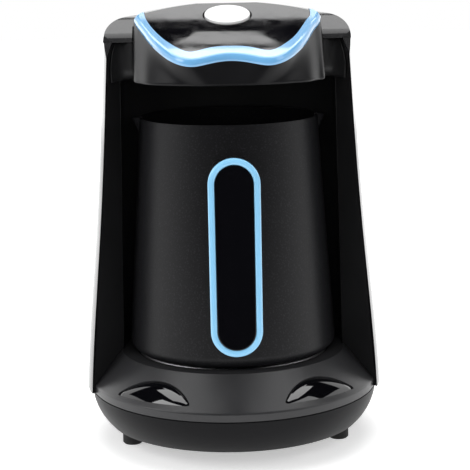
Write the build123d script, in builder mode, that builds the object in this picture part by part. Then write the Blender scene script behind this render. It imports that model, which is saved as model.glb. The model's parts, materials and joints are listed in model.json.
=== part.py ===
"""Electric turkish coffee maker: a heated base, a tower behind the pot and a head over it.

Millimetres, +Z up, front is -Y. The pot's axis is X = Y = 0 and the feet stand on Z = 0.
The tower leans inwards as it rises, the head is moulded from a round lower edge to a waved
panel outline, and the pot lifts out forwards by its handle.
"""

import os
from math import cos, radians, sin, tan

from build123d import *

# Overall form
tower_half_width = 66.2  # at the tower's foot
rear_reach = 78.0  # pot axis to the back of the tower
front_reach = 67.5  # pot axis to the front of the base
tower_overhang = 2.0  # tower beyond the base, at its sides and back
side_flare = 7.4  # base wider at the seam than underneath, at each side
front_flare = 9.5
rear_flare = 7.5
foot_height = 7.8
seam_height = 23.9
seam_gap = 0.5  # height of the shadow line under the deck and tower
seam_depth = 0.7
shell_wall = 2.2
fit = 0.15  # gap between moulded pieces that drop into each other
running_fit = 0.3  # gap round a piece that moves

# Deck
lip_height = 3.4  # upright band above the seam
deck_inner_radius = 50.3
deck_top = 39.9
deck_ledge = 6.7  # flat ring round the hot plate
deck_edge_round = 1.0
lens_angle = 36.0  # middle of each lens, from straight ahead
lens_half_span = 18.0
lens_outer_radius = 63.8
lens_inner_radius = 55.2
lens_recess = 0.7
lens_slope_reach = 16.0  # how far each lens outline is cut through the deck
lens_thickness = 1.2
lens_tip_round = 0.8

# Tower
tower_top = 188.5
tower_lean = 12.3  # each side comes in by this much on the way up
tower_levels = [(0.0, 0.0), (0.27, 0.276), (0.5, 0.569), (0.74, 0.8), (1.0, 1.0)]  # shares: height, lean
tower_rear_lean = 0.6  # the back takes this share of the lean of the sides
tower_top_round = 10.0
top_slope_y = 6.0  # the top falls forwards from here
brow_y = -7.5  # and more steeply from here
brow_z = 181.5
tip_y = -19.0  # to the front of the wings
tip_z = 169.0
brow_round = 9.0
brow_bottom = 178.5  # the glossy shell closes the front of the tower above this
brow_inner_x = 41.3  # beside the head
brow_inner_y = -17.0
brow_turn = 38.0  # the front of the brow falls back by this angle
cheek_inner_y = -1.0  # where the cheeks meet the bay
cheek_foot_turn = 52.0  # each cheek faces inwards by this angle, at its foot
cheek_top_turn = 73.0
cheek_wall = 2.4
shell_lip = 0.6  # edge of the glossy shell round the cheeks
shell_foot = 2.0  # rib inside the shell's foot, which stands on the base
head_opening = (56.0, 9.0)  # through the cheeks, from the head into the tower
head_opening_round = 3.0
bay_radius = 49.6  # clear radius behind the pot, at the deck
bay_top_radius = 47.4
bay_wall = 2.0
flange_thickness = 2.0  # plate at the foot of the liner
cable_opening = (24.0, 11.0)
cable_opening_y = 60.5

# Head
head_bottom = 163.0
head_half_width = 40.3
head_front_radius = 59.0
head_wall = 2.2
head_side_y = -34.0  # where the sides turn into the front, at the lower edge
head_edge_round = 1.0
head_corner_share = 0.94  # where the lower front line ends, across the half width
head_corner_draw = 4.5  # how far that last point is drawn in, to round the corner
panel_slope = 19.6
panel_origin_y = -15.3  # middle of the button, on the panel's surface
panel_origin_z = 189.65
panel_thickness = 2.4
crest_round = 1.2
crest_sag = 4.9  # the arched crest falls by this much to its ends
crest_end_round = 5.0
trim_proud = 0.5  # trim above the panel
trim_round = 2.2
# Half outlines on the panel's plane: across, then up the slope from the button's middle
trim_outer_line = [
    (0, -43.1),
    (9.0, -45.8),
    (16.0, -48.3),
    (22.4, -44.6),
    (27.6, -36.8),
    (32.9, -24.6),
    (37.2, -11.0),
]
trim_inner_line = [(0, -34.4), (9.2, -36.2), (16.2, -39.6), (22.0, -34.4), (27.6, -24.9), (34.2, -6.6)]
trim_side_start = 4.0  # up the slope, where the trim's sides turn straight
trim_side_width = 4.6  # across the trim where it meets the crest
hump_run = 44.0  # length of the fairing behind the head
hump_flat = 11.0  # level part of the fairing
hump_drop = 2.0  # top of the fairing below the head's crest
hump_root = 1.1  # depth that the fairing reaches into the shell

# Button and the switch under it
button_radius = 9.8
button_gap = 0.8
button_proud = 0.8
button_thickness = 1.6
button_travel = 1.2
button_round = 0.5
stem_radius = 2.0
stem_fit = 0.06
stem_length = 6.0
switch_size = 6.2
switch_height = 3.6
plunger_radius = 1.6
plunger_length = 3.0
control_board_size = (50.0, 20.0)
board_post_radius = 2.2
board_post_places = [(21.0, 7.0), (-21.0, 7.0), (21.0, -7.0), (-21.0, -7.0)]
board_thickness = 1.6
led_radius = 1.5
led_height = 3.0
led_round = 1.2
buzzer_radius = 5.0
buzzer_height = 3.6
buzzer_hole_radius = 1.0
buzzer_hole_depth = 1.8
buzzer_offset = -12.0
led_offset = 12.0
foam_lens_y = -38.0
foam_lens_radius = 4.0
foam_lens_flange = 1.5
foam_lens_flange_thickness = 1.0

# Pot
pot_bottom_radius = 46.5
pot_rim_radius = 39.4
plate_proud = 0.4  # hot plate above the deck
pot_top = 144.8
pot_corner = 5.0
pot_wall = 1.2
pot_floor = 1.8
spout_reach = 5.4  # tip beyond the rim
spout_half_width = 13.0
spout_root = 14.0  # how far inside the rim the spout's sides start
spout_tip_round = 2.4
spout_levels = [(0.0, 0.0), (5.0, 2.6), (15.0, 6.4)]  # below the top, tip drawn in by
spout_cut_above = 1.5  # the inside is cut this far past the rim
spout_tip_wall = 1.3  # wall at the tip, as a multiple of the pot's wall

# Handle
handle_face_y = -78.0
handle_width = 21.2
handle_bottom = 54.4
handle_top = 136.0
handle_depth = 12.5
handle_round = 3.0
handle_ring_width = 3.3
handle_ring_depth = 2.6
handle_ring_round = 1.1
insert_recess = 0.5
insert_round = 0.4
grip_setback = 0.4  # edge of the grip inside the edge of the ring
arm_width = 13.0
arm_height = 10.0
arm_inset = 15.0  # middle of each arm from the grip's end
arm_round = 2.5
bracket_thickness = 1.5
bracket_width = 16.0
bracket_height = 18.0
bracket_round = 2.0
rivet_radius = 1.1
rivet_head_radius = 1.6
rivet_height = 0.8
rivet_spacing = 13.8

# Hot plate and what hangs under it
plate_gap = 1.0  # round the hot plate, filled by its seal
plate_thickness = 3.2
plate_edge_round = 0.6
seal_flange = 3.2
seal_thickness = 1.2
clamp_thickness = 1.0
clamp_inner_radius = 36.0
element_ring_radius = 27.0
element_tube_radius = 3.3
element_boss_wall = 1.7  # cast boss beside the element
element_boss_depth = 2.1
terminal_radius = 2.0
terminal_spread = 8.0
terminal_length = 11.0
shield_thickness = 0.8
shield_depth = 11.0
shield_radius = 40.0
shield_hole_gap = 1.0
thermostat_radius = 6.5
thermostat_height = 6.0
thermostat_offset = 15.0
fuse_radius = 2.0
fuse_length = 11.0
fuse_offset = 15.0
sensor_radius = 5.0
sensor_cap_height = 7.5
sensor_stem_radius = 1.5
sensor_travel = 1.5
sensor_wall = 1.8
sensor_holder_height = 17.0
spring_wire_radius = 0.45
spring_radius = 3.0
spring_turns = 3

# Fasteners, feet and cord inlet
foot_radius = 4.5
foot_plug_radius = 2.4
foot_barb_radius = 3.2
foot_barb_height = 1.4
foot_edge = 0.7
front_foot_share = (0.72, 0.237)  # across and forwards, as shares of the base's reach
rear_foot_share = (0.54, 0.57)
post_radius = 3.6
front_post_share = (0.483, 0.593)
rear_post_share = (0.343, 0.7105)
screw_radius = 1.4
screw_head_radius = 2.6
screw_head_height = 1.2
screw_length = 9.0  # bore in each post
screw_shank = 8.0
vent_slot = (26.0, 2.4)
vent_pitch = 7.0
vent_count = 7
cord_bore_radius = 3.3
gland_radius = 4.8
gland_flange_radius = 6.0
gland_length = 7.8
gland_flange = 1.6
gland_face_inset = 0.4  # face of the gland inside the back of the base's seam
gland_seat = 5.8  # face of the gland to its seat
gland_boss_wall = 0.4

# Boards in the tower
power_board_size = (48.0, 78.0)
power_board_y = 62.0
board_boss_radius = 3.0
board_boss_spread = (34.0, 60.0)
board_boss_length = 15.0
board_screw_radius = 1.0
board_screw_head_radius = 2.0
board_screw_head_height = 1.2
board_screw_depth = 5.0
terminal_block_size = (16.0, 9.0, 6.5)  # across, up, out from the board
terminal_block_z = 38.0
relay_size = (12.0, 15.0, 8.0)
relay_place = (-8.0, 62.0)
transformer_size = (14.0, 16.0, 8.5)
transformer_place = (8.5, 62.0)
capacitor_radius = 4.0
capacitor_height = 9.0
capacitor_place = (-9.0, 82.0)
lead_radius = 1.1
lead_low_z = 17.0
lead_bend = 3.0
ribbon_width = 12.0
ribbon_thickness = 1.0
ribbon_drop = 5.0  # leg that leaves the control board
ribbon_overlap = 10.0  # length of ribbon on the power board
ribbon_bend = 3.0

# Worked out from the sizes above
base_floor = foot_height + shell_wall
plate_top = deck_top + plate_proud
plate_bottom = plate_top - plate_thickness
base_half_width = tower_half_width - tower_overhang
base_rear = rear_reach - tower_overhang
deck_wall = plate_thickness - plate_proud
deck_bore_radius = deck_inner_radius - deck_ledge
plate_radius = deck_bore_radius - plate_gap
far = 2 * rear_reach  # well clear of the object
bay_lean = (bay_radius - bay_top_radius) / (head_bottom - deck_top)
lip_top = seam_height + lip_height
cone_run = (base_half_width + front_reach) / 2 - deck_inner_radius
cone_rise = deck_top - lip_top
cone_length = (cone_run**2 + cone_rise**2) ** 0.5
cone_cos, cone_sin = cone_run / cone_length, cone_rise / cone_length
pot_taper = (pot_bottom_radius - pot_rim_radius) / (pot_top - plate_top)
handle_middle = (handle_top + handle_bottom) / 2
handle_height = handle_top - handle_bottom
arm_heights = [handle_bottom + arm_inset, handle_top - arm_inset]
ceiling_top = head_bottom + shell_wall
slope_cos, slope_sin = cos(radians(panel_slope)), sin(radians(panel_slope))
head_back_y = cheek_inner_y  # the head is screwed flat against the cheeks
panel_half_width = head_half_width - trim_side_width
panel_back = (head_back_y - panel_origin_y) / slope_cos  # up the slope to the head's back
panel_plane = Plane(
    origin=(0, panel_origin_y, panel_origin_z), x_dir=(1, 0, 0), z_dir=(0, -slope_sin, slope_cos)
)
head_back_z = panel_origin_z + panel_back * slope_sin
stem_bottom = button_proud - button_thickness - stem_length
switch_top = stem_bottom - button_travel - running_fit
control_board_top = switch_top - switch_height
element_z = plate_bottom - element_tube_radius
shield_top = plate_bottom - seal_thickness - clamp_thickness
shield_floor = shield_top - shield_depth
sensor_floor = plate_bottom - sensor_holder_height
sensor_cap_top = plate_top - running_fit
sensor_cap_bottom = sensor_cap_top - sensor_cap_height
gland_z = (base_floor + seam_height - seam_gap) / 2
gland_face = base_rear - gland_face_inset
terminal_y = (element_ring_radius**2 - (terminal_spread / 2) ** 2) ** 0.5
terminal_bottom = element_z - terminal_length
flange_top = seam_height + flange_thickness
top_fall = (tower_top - brow_z) / (top_slope_y - brow_y)
power_board_middle = flange_top + power_board_size[1] / 2
front_post_places = [
    (side * front_post_share[0] * base_half_width, -front_post_share[1] * front_reach) for side in (-1, 1)
]
rear_post_places = [
    (side * rear_post_share[0] * base_half_width, rear_post_share[1] * base_rear) for side in (-1, 1)
]
post_places = front_post_places + rear_post_places
foot_places = [
    (side * front_foot_share[0] * base_half_width, -front_foot_share[1] * front_reach) for side in (-1, 1)
] + [(side * rear_foot_share[0] * base_half_width, rear_foot_share[1] * base_rear) for side in (-1, 1)]

os.makedirs("parts", exist_ok=True)


def save(part, name):
    """Label a finished piece and write it under its node name."""
    part.label = name
    export_step(part, f"parts/{name}.step")


def plan_face(half_width, front, rear):
    """Plan outline: a half ellipse in front and another behind."""
    with BuildSketch() as face:
        with BuildLine():
            EllipticalCenterArc((0, 0), half_width, front, 180, arc_size=180)
            EllipticalCenterArc((0, 0), half_width, rear, 0, arc_size=180)
        make_face()
    return face.sketch


def lofted(sections, ruled):
    """Loft through plan outlines given as (height, half width, front, rear)."""
    with BuildPart() as body:
        for height, half_width, front, rear in sections:
            with BuildSketch(Plane.XY.offset(height)):
                add(plan_face(half_width, front, rear))
        loft(ruled=ruled)
    return body.part


def base_plan(flare, inset=0.0):
    """Half width, front and rear of the base, drawn in by a share of its flare and by inset."""
    return (
        base_half_width - flare * side_flare - inset,
        front_reach - flare * front_flare - inset,
        base_rear - flare * rear_flare - inset,
    )


def bowl(inset):
    """Outer form of the lower shell, drawn in by inset."""
    rise = seam_height - seam_gap - foot_height
    shares = [(0.0, 1.0), (0.2, 0.64), (0.55, 0.22), (1.0, 0.0)]
    sections = [(foot_height + rise * up, *base_plan(flare, inset)) for up, flare in shares]
    return lofted(sections, ruled=inset > 0)


def side_profile(inset):
    """Everything behind and below the falling front of the tower's top, drawn in by inset."""
    with BuildPart() as body:
        with BuildSketch(Plane.YZ):
            with BuildSketch(mode=Mode.PRIVATE) as outline:
                Polygon(
                    (far, -far),
                    (far, tower_top),
                    (top_slope_y, tower_top),
                    (brow_y, brow_z),
                    (tip_y, tip_z),
                    (tip_y, -far),
                    align=None,
                )
                fillet(outline.vertices().sort_by(Axis.X)[:4].sort_by(Axis.Y)[1:], brow_round)
                if inset:
                    offset(amount=-inset, mode=Mode.REPLACE)
            add(outline.sketch)
        extrude(amount=far, both=True)
    return body.part


def tower(inset):
    """Outer form of the tower, as if it closed round the pot, drawn in by inset."""
    sections = []
    for up, lean in tower_levels:
        half_width = tower_half_width - lean * tower_lean - inset
        rear = rear_reach - lean * tower_lean * tower_rear_lean - inset
        sections.append((seam_height + (tower_top - inset - seam_height) * up, half_width, half_width, rear))
    with BuildPart() as body:
        add(lofted(sections, ruled=inset > 0))
        fillet(body.faces().sort_by(Axis.Z)[-1].edges(), tower_top_round - inset)
        add(side_profile(inset), mode=Mode.INTERSECT)
    return body.part


def cheek_plan(inner_x, turn, shift):
    """Plan of the space between the cheeks at one height, moved back by shift."""
    slope = tan(radians(turn))
    stretch = 1 / cos(radians(turn))
    corner = inner_x + shift * (stretch - 1) / slope
    end = inner_x + (cheek_inner_y + far + shift * stretch) / slope
    with BuildSketch() as face:
        Polygon(
            (-end, -far),
            (-corner, cheek_inner_y + shift),
            (corner, cheek_inner_y + shift),
            (end, -far),
            align=None,
        )
    return face.sketch


def front_of_cheeks(shift=0.0, bottom=seam_height):
    """The space in front of the cheeks, up to the brow, moved back by shift."""
    with BuildPart() as space:
        with BuildSketch(Plane.XY.offset(seam_height)):
            add(cheek_plan(bay_radius, cheek_foot_turn, shift))
        with BuildSketch(Plane.XY.offset(brow_bottom)):
            add(cheek_plan(bay_top_radius, cheek_top_turn, shift))
        loft(ruled=True)
        if bottom < seam_height:
            with BuildSketch(Plane.XY.offset(bottom)):
                add(cheek_plan(bay_radius, cheek_foot_turn, shift))
            extrude(amount=seam_height - bottom)
    return space.part


def front_of_brow(shift=0.0):
    """The space round the head, above the cheeks, moved back by shift."""
    rise = tan(radians(brow_turn))
    inner_x = brow_inner_x + shift
    inner_y = brow_inner_y + shift
    with BuildPart() as space:
        with BuildSketch(Plane.XY.offset(brow_bottom)):
            Polygon(
                (-far, inner_y + (far - inner_x) * rise),
                (-inner_x, inner_y),
                (-inner_x, cheek_inner_y + shift),
                (inner_x, cheek_inner_y + shift),
                (inner_x, inner_y),
                (far, inner_y + (far - inner_x) * rise),
                (far, -far),
                (-far, -far),
                align=None,
            )
        extrude(amount=hump_run)
    return space.part


def turned(*profile):
    """Solid of revolution about the pot's axis from (radius, height) corners."""
    with BuildPart() as body:
        with BuildSketch(Plane.XZ):
            Polygon(*profile, align=None)
        revolve(axis=Axis.Z)
    return body.part


def bay(grow=0.0, bottom=0.0, top=head_bottom):
    """The round space behind the pot, widened by grow."""
    wide = bay_radius + grow + bay_lean * (deck_top - bottom)
    narrow = bay_radius + grow - bay_lean * (top - deck_top)
    return turned((0, bottom), (wide, bottom), (narrow, top), (0, top))


def peg(x, y, bottom, height, radius):
    """Upright cylinder standing on height bottom."""
    with BuildPart() as body:
        with Locations((x, y, bottom)):
            Cylinder(radius, height, align=(Align.CENTER, Align.CENTER, Align.MIN))
    return body.part


def rod(plane, places, start, end, radius):
    """Cylinders along a plane's normal, between two heights over the plane."""
    with BuildPart() as body:
        with BuildSketch(plane.offset(start)):
            with Locations(*places):
                Circle(radius)
        extrude(amount=end - start)
    return body.part


# ---------------------------------------------------------------- base

gland_plane = Plane((0, gland_face, gland_z), x_dir=(1, 0, 0), z_dir=(0, 1, 0))


def gland_boss():
    """Flat seat for the cord gland inside the lower shell."""
    with BuildPart() as boss:
        add(rod(gland_plane, [(0, 0)], -gland_seat, 0, gland_flange_radius + gland_boss_wall))
        add(bowl(0.0), mode=Mode.INTERSECT)
    return boss.part


with BuildPart() as base_lower_shell:
    add(bowl(0.0))
    add(bowl(shell_wall), mode=Mode.SUBTRACT)
    with BuildSketch(Plane.XY.offset(seam_height - seam_gap)):
        add(plan_face(*base_plan(0.0, seam_depth)))
        add(plan_face(*base_plan(0.0, shell_wall)), mode=Mode.SUBTRACT)
    extrude(amount=seam_gap)
    add(gland_boss())
    add(rod(gland_plane, [(0, 0)], -gland_length, rear_reach, gland_radius + fit), mode=Mode.SUBTRACT)
    add(rod(gland_plane, [(0, 0)], -gland_length, -gland_seat, gland_flange_radius + fit), mode=Mode.SUBTRACT)
save(base_lower_shell.part, "base_lower_shell")

with BuildPart() as cord_gland:
    add(rod(gland_plane, [(0, 0)], -gland_length, 0, gland_radius))
    add(rod(gland_plane, [(0, 0)], -gland_seat - gland_flange, -gland_seat, gland_flange_radius))
    add(rod(gland_plane, [(0, 0)], -gland_length, 0, cord_bore_radius), mode=Mode.SUBTRACT)
save(cord_gland.part, "cord_gland")

with BuildPart() as bottom_cover:
    with BuildSketch(Plane.XY.offset(foot_height)):
        add(plan_face(*base_plan(1.0, shell_wall + fit)))
        with GridLocations(vent_pitch, 0, vent_count, 1):
            SlotOverall(*vent_slot, rotation=90, mode=Mode.SUBTRACT)
    extrude(amount=shell_wall)
    with Locations(*[(x, y, base_floor) for x, y in foot_places]):
        Hole(foot_plug_radius + fit)
    with Locations(*[Plane((x, y, foot_height), z_dir=(0, 0, -1)) for x, y in post_places]):
        CounterBoreHole(screw_radius + fit, screw_head_radius + fit, screw_head_height)
save(bottom_cover.part, "bottom_cover")

with BuildPart() as rubber_feet:
    for x, y in foot_places:
        add(peg(x, y, 0, foot_height, foot_radius))
    chamfer(rubber_feet.faces().group_by(Axis.Z)[0].edges(), foot_edge)
    for x, y in foot_places:
        add(peg(x, y, foot_height, shell_wall, foot_plug_radius))
        add(peg(x, y, base_floor, foot_barb_height, foot_barb_radius))
save(rubber_feet.part, "rubber_feet")

lens_mid = (lens_outer_radius + lens_inner_radius) / 2


def deck_form(depth):
    """Everything between the seam and the deck's surface, drawn in by depth."""
    lip = lip_top - depth * cone_cos + depth * (1 - cone_sin) * cone_rise / cone_run
    inner_radius = deck_inner_radius - depth * cone_sin + depth * (1 - cone_cos) * cone_run / cone_rise
    with BuildPart() as body:
        with BuildSketch(Plane.XY.offset(seam_height)):
            add(plan_face(*base_plan(0.0, depth)))
        extrude(amount=lip - seam_height)
        with BuildSketch(Plane.XY.offset(lip)):
            add(plan_face(*base_plan(0.0, depth)))
        with BuildSketch(Plane.XY.offset(deck_top - depth)):
            add(plan_face(inner_radius, inner_radius, inner_radius))
        loft()
    return body.part


def lens_body(side, grow, top_depth, bottom_depth):
    """Crescent on the deck's cone, to one side of straight ahead."""
    angle = radians(side * lens_angle)
    outward = Vector(sin(angle), -cos(angle), 0)
    height = deck_top - (lens_mid - deck_inner_radius) * cone_rise / cone_run
    middle = Plane(
        origin=outward * lens_mid + Vector(0, 0, height),
        x_dir=(cos(angle), sin(angle), 0),
        z_dir=outward * cone_sin + Vector(0, 0, cone_cos),
    )
    half_width = lens_outer_radius * sin(radians(lens_half_span))
    low = (lens_mid - lens_outer_radius) / cone_cos
    high = (lens_mid - lens_inner_radius) / cone_cos
    tip_rise = lens_outer_radius * (1 - cos(radians(lens_half_span))) * cone_cos
    tips = [(-half_width, low + tip_rise), (half_width, low + tip_rise)]
    with BuildPart() as body:
        with BuildSketch(middle) as crescent:
            with BuildLine():
                ThreePointArc(tips[0], (0, low), tips[1])
                ThreePointArc(tips[1], (0, high), tips[0])
            make_face()
            fillet(crescent.vertices(), lens_tip_round)
            if grow:
                offset(amount=grow)
        extrude(amount=lens_slope_reach, both=True)
        add(deck_form(top_depth), mode=Mode.INTERSECT)
        add(deck_form(bottom_depth), mode=Mode.SUBTRACT)
    return body.part


def deck_posts():
    """Screw posts under the front of the deck."""
    with BuildPart() as posts:
        for x, y in front_post_places:
            add(peg(x, y, seam_height, deck_top - seam_height, post_radius))
        add(deck_form(deck_wall / 2), mode=Mode.INTERSECT)
        for x, y in front_post_places:
            add(peg(x, y, base_floor, seam_height - base_floor, post_radius))
    return posts.part


def deck_room():
    """The space that the deck may fill: in front of the cheeks and inside the bay."""
    with BuildPart() as room:
        add(front_of_cheeks(-fit, bottom=base_floor))
        add(bay(-fit))
    return room.part


with BuildPart() as base_deck:
    add(deck_form(0.0))
    lip_edges = base_deck.edges().filter_by_position(Axis.Z, lip_top - fit, lip_top + fit)
    fillet(lip_edges, deck_edge_round)
    add(deck_form(deck_wall), mode=Mode.SUBTRACT)
    add(peg(0, 0, seam_height, deck_top, deck_bore_radius), mode=Mode.SUBTRACT)
    add(deck_posts())
    add(deck_room(), mode=Mode.INTERSECT)
    with Locations(*[Plane((x, y, base_floor), z_dir=(0, 0, -1)) for x, y in front_post_places]):
        Hole(screw_radius, depth=screw_length)
    for side in (-1, 1):
        add(lens_body(side, fit, -deck_edge_round, lens_recess + lens_thickness), mode=Mode.SUBTRACT)
save(base_deck.part, "base_deck")

for side, name in ((-1, "deck_lens_left"), (1, "deck_lens_right")):
    save(lens_body(side, 0.0, lens_recess, lens_recess + lens_thickness), name)

# ---------------------------------------------------------------- tower


def crest_arch(above):
    """Everything under the head's arched crest, raised by above, with rounded ends."""
    top = head_back_z + above
    side = head_half_width + fit
    with BuildPart() as body:
        with BuildSketch(Plane.XZ) as profile:
            with BuildLine():
                ThreePointArc((-side, top - crest_sag), (0, top), (side, top - crest_sag))
                Polyline((side, top - crest_sag), (side, 0), (-side, 0), (-side, top - crest_sag))
            make_face()
            fillet(profile.vertices().group_by(Axis.Y)[-1], crest_end_round)
        extrude(amount=far, both=True)
    return body.part


def hump():
    """Fairing that carries the head's crest down to the back of the tower."""
    top = head_back_z - hump_drop
    level = tower_top - hump_root
    with BuildPart() as body:
        with BuildSketch(Plane.YZ):
            Polygon(
                (cheek_inner_y, level - (top_slope_y - cheek_inner_y) * top_fall),
                (cheek_inner_y, top),
                (cheek_inner_y + hump_flat, top),
                (cheek_inner_y + hump_run, level),
                (top_slope_y, level),
                align=None,
            )
        extrude(amount=head_half_width, both=True)
        fillet(body.edges().filter_by(Axis.X).group_by(Axis.Z)[-1].sort_by(Axis.Y)[-1:], hump_flat)
        add(crest_arch(-hump_drop), mode=Mode.INTERSECT)
    return body.part


def shell_room():
    """The space inside the rear shell, behind its brow and the cheeks."""
    with BuildPart() as room:
        add(tower(shell_wall))
        add(front_of_cheeks(shell_wall), mode=Mode.SUBTRACT)
        add(front_of_brow(shell_wall), mode=Mode.SUBTRACT)
    return room.part


def cheek_room(inset, thickness, top):
    """The space that the cheeks fill in the front of the shell, drawn in by inset."""
    with BuildPart() as room:
        add(tower(inset))
        add(front_of_cheeks(thickness), mode=Mode.INTERSECT)
        add(front_of_cheeks(0.0), mode=Mode.SUBTRACT)
        with BuildSketch(Plane.XY.offset(top)):
            Rectangle(far, far)
        extrude(amount=far, mode=Mode.SUBTRACT)
    return room.part


def shell_foot_rib():
    """Rib inside the foot of the shell, behind the cheeks."""
    with BuildPart() as rib:
        with BuildSketch(Plane.XY.offset(seam_height)):
            add(tower_plan(shell_wall / 2))
            add(tower_plan(shell_wall + shell_foot), mode=Mode.SUBTRACT)
        extrude(amount=flange_thickness)
        add(front_of_cheeks(cheek_wall), mode=Mode.SUBTRACT)
    return rib.part


def tower_plan(inset):
    """Plan outline of the tower's foot, drawn in by inset."""
    return plan_face(tower_half_width - inset, tower_half_width - inset, rear_reach - inset)


with BuildPart() as rear_shell:
    add(tower(0.0))
    add(front_of_cheeks(0.0), mode=Mode.SUBTRACT)
    add(front_of_brow(0.0), mode=Mode.SUBTRACT)
    add(shell_room(), mode=Mode.SUBTRACT)
    add(cheek_room(shell_lip, cheek_wall, brow_bottom), mode=Mode.SUBTRACT)
    add(shell_foot_rib())
    add(hump())
save(rear_shell.part, "rear_shell")


def cheeks():
    """The two front faces of the tower, joined across the top behind the head."""
    with BuildPart() as body:
        add(cheek_room(shell_lip + fit, cheek_wall, brow_bottom - fit))
        add(bay(0.0, bottom=seam_height, top=head_bottom), mode=Mode.SUBTRACT)
        ceiling_radius = bay_top_radius + bay_wall + fit
        add(peg(0, 0, head_bottom, shell_wall + fit, ceiling_radius), mode=Mode.SUBTRACT)
        with BuildSketch(Plane.XZ):
            with Locations((0, (ceiling_top + brow_bottom) / 2)):
                RectangleRounded(*head_opening, head_opening_round)
        extrude(amount=rear_reach, both=True, mode=Mode.SUBTRACT)
    return body.part


def liner_flange():
    """Plate behind the bay, with an opening for the cables."""
    with BuildPart() as plate:
        with BuildSketch(Plane.XY.offset(seam_height)):
            add(tower_plan(shell_wall + shell_foot + fit))
            Circle(bay_radius + bay_wall / 2, mode=Mode.SUBTRACT)
            with Locations((0, cable_opening_y)):
                Rectangle(*cable_opening, mode=Mode.SUBTRACT)
        extrude(amount=flange_thickness)
        add(front_of_cheeks(cheek_wall / 2), mode=Mode.SUBTRACT)
    return plate.part


board_plane = Plane((0, power_board_y, 0), x_dir=(1, 0, 0), z_dir=(0, -1, 0))
board_boss_places = [
    (x * board_boss_spread[0] / 2, power_board_middle + up * board_boss_spread[1] / 2)
    for x in (-1, 1)
    for up in (-1, 1)
]

with BuildPart() as inner_liner:
    add(bay(bay_wall, bottom=seam_height))
    add(rod(board_plane, board_boss_places, 0, board_boss_length, board_boss_radius))
    add(bay(0.0, bottom=0.0), mode=Mode.SUBTRACT)
    add(front_of_cheeks(cheek_wall / 2), mode=Mode.SUBTRACT)
    add(cheeks())
    add(liner_flange())
    for x, y in rear_post_places:
        add(peg(x, y, base_floor, seam_height - base_floor, post_radius))
    with Locations(*[Plane((x, y, base_floor), z_dir=(0, 0, -1)) for x, y in rear_post_places]):
        Hole(screw_radius, depth=screw_length)
    add(rod(board_plane, board_boss_places, 0, board_screw_depth, board_screw_radius), mode=Mode.SUBTRACT)
save(inner_liner.part, "inner_liner")

# ---------------------------------------------------------------- head


def head_outline(half_line, half_width, side_start, back, inset=0.0):
    """Outline with a symmetric curved front between straight sides, drawn in by inset."""
    side = half_width - inset
    full = [(-x, y) for x, y in reversed(half_line[1:])] + half_line
    full = [(-half_width, side_start)] + full + [(half_width, side_start)]
    moved = []
    for before, here, after in zip(full, full[1:], full[2:]):
        along = Vector(after[0] - before[0], after[1] - before[1]).normalized()
        moved.append((here[0] - along.Y * inset, here[1] + along.X * inset))
    with BuildSketch() as face:
        with BuildLine():
            Spline((-side, side_start), *moved, (side, side_start), tangents=[(0, -1), (0, 1)])
            Polyline((side, side_start), (side, back), (-side, back), (-side, side_start))
        make_face()
    return face.sketch


def lower_front_line():
    """Half of the head's round lower front, matching the points of the trim's outline."""
    places = [x for x, y in trim_outer_line[:-1]] + [head_corner_share * head_half_width]
    line = [(x, -((head_front_radius**2 - x**2) ** 0.5)) for x in places]
    return line[:-1] + [(places[-1], line[-1][1] + head_corner_draw)]


def head_form(inset, bottom, depth, back):
    """Head between its lower outline and the panel's plane, drawn in by inset."""
    with BuildPart() as body:
        with BuildSketch(Plane.XY.offset(bottom)):
            add(head_outline(lower_front_line(), head_half_width, head_side_y, back, inset))
        with BuildSketch(panel_plane.offset(-depth)):
            up_slope = (back - panel_origin_y) / slope_cos
            add(head_outline(trim_outer_line, head_half_width, trim_side_start, up_slope, inset))
        loft()
    return body.part


def crest_form(above):
    """Everything under the panel's plane raised by above, with the crest rounded."""
    top = head_back_z + above / slope_cos
    with BuildPart() as body:
        with BuildSketch(Plane.YZ) as profile:
            Polygon(
                (-far, 0),
                (head_back_y, 0),
                (head_back_y, top),
                (-far, top - (head_back_y + far) * slope_sin / slope_cos),
                align=None,
            )
            fillet(profile.vertices().sort_by(Axis.Y)[-1:], crest_round)
        extrude(amount=far, both=True)
        add(crest_arch(above), mode=Mode.INTERSECT)
    return body.part


with BuildPart() as head_shell:
    add(head_form(0.0, head_bottom, panel_thickness, head_back_y))
    fillet(head_shell.faces().sort_by(Axis.Z)[0].edges().sort_by(Axis.Y)[0], head_edge_round)
    add(
        head_form(head_wall, head_bottom - head_wall, panel_thickness + head_wall, head_back_y + head_wall),
        mode=Mode.SUBTRACT,
    )
    add(rod(panel_plane, board_post_places, control_board_top, -panel_thickness, board_post_radius))
    add(
        rod(
            panel_plane,
            board_post_places,
            control_board_top,
            control_board_top + board_screw_depth,
            board_screw_radius,
        ),
        mode=Mode.SUBTRACT,
    )
    add(rod(panel_plane, [(0, 0)], stem_bottom, 0, stem_radius + stem_fit), mode=Mode.SUBTRACT)
    add(crest_form(0.0), mode=Mode.INTERSECT)
save(head_shell.part, "head_shell")

with BuildPart() as control_panel:
    with BuildSketch(panel_plane.offset(-panel_thickness)):
        add(head_outline(trim_inner_line, panel_half_width, trim_side_start, panel_back, fit))
        Circle(button_radius + button_gap, mode=Mode.SUBTRACT)
    extrude(amount=panel_thickness)
    add(crest_form(0.0), mode=Mode.INTERSECT)
save(control_panel.part, "control_panel")

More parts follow.
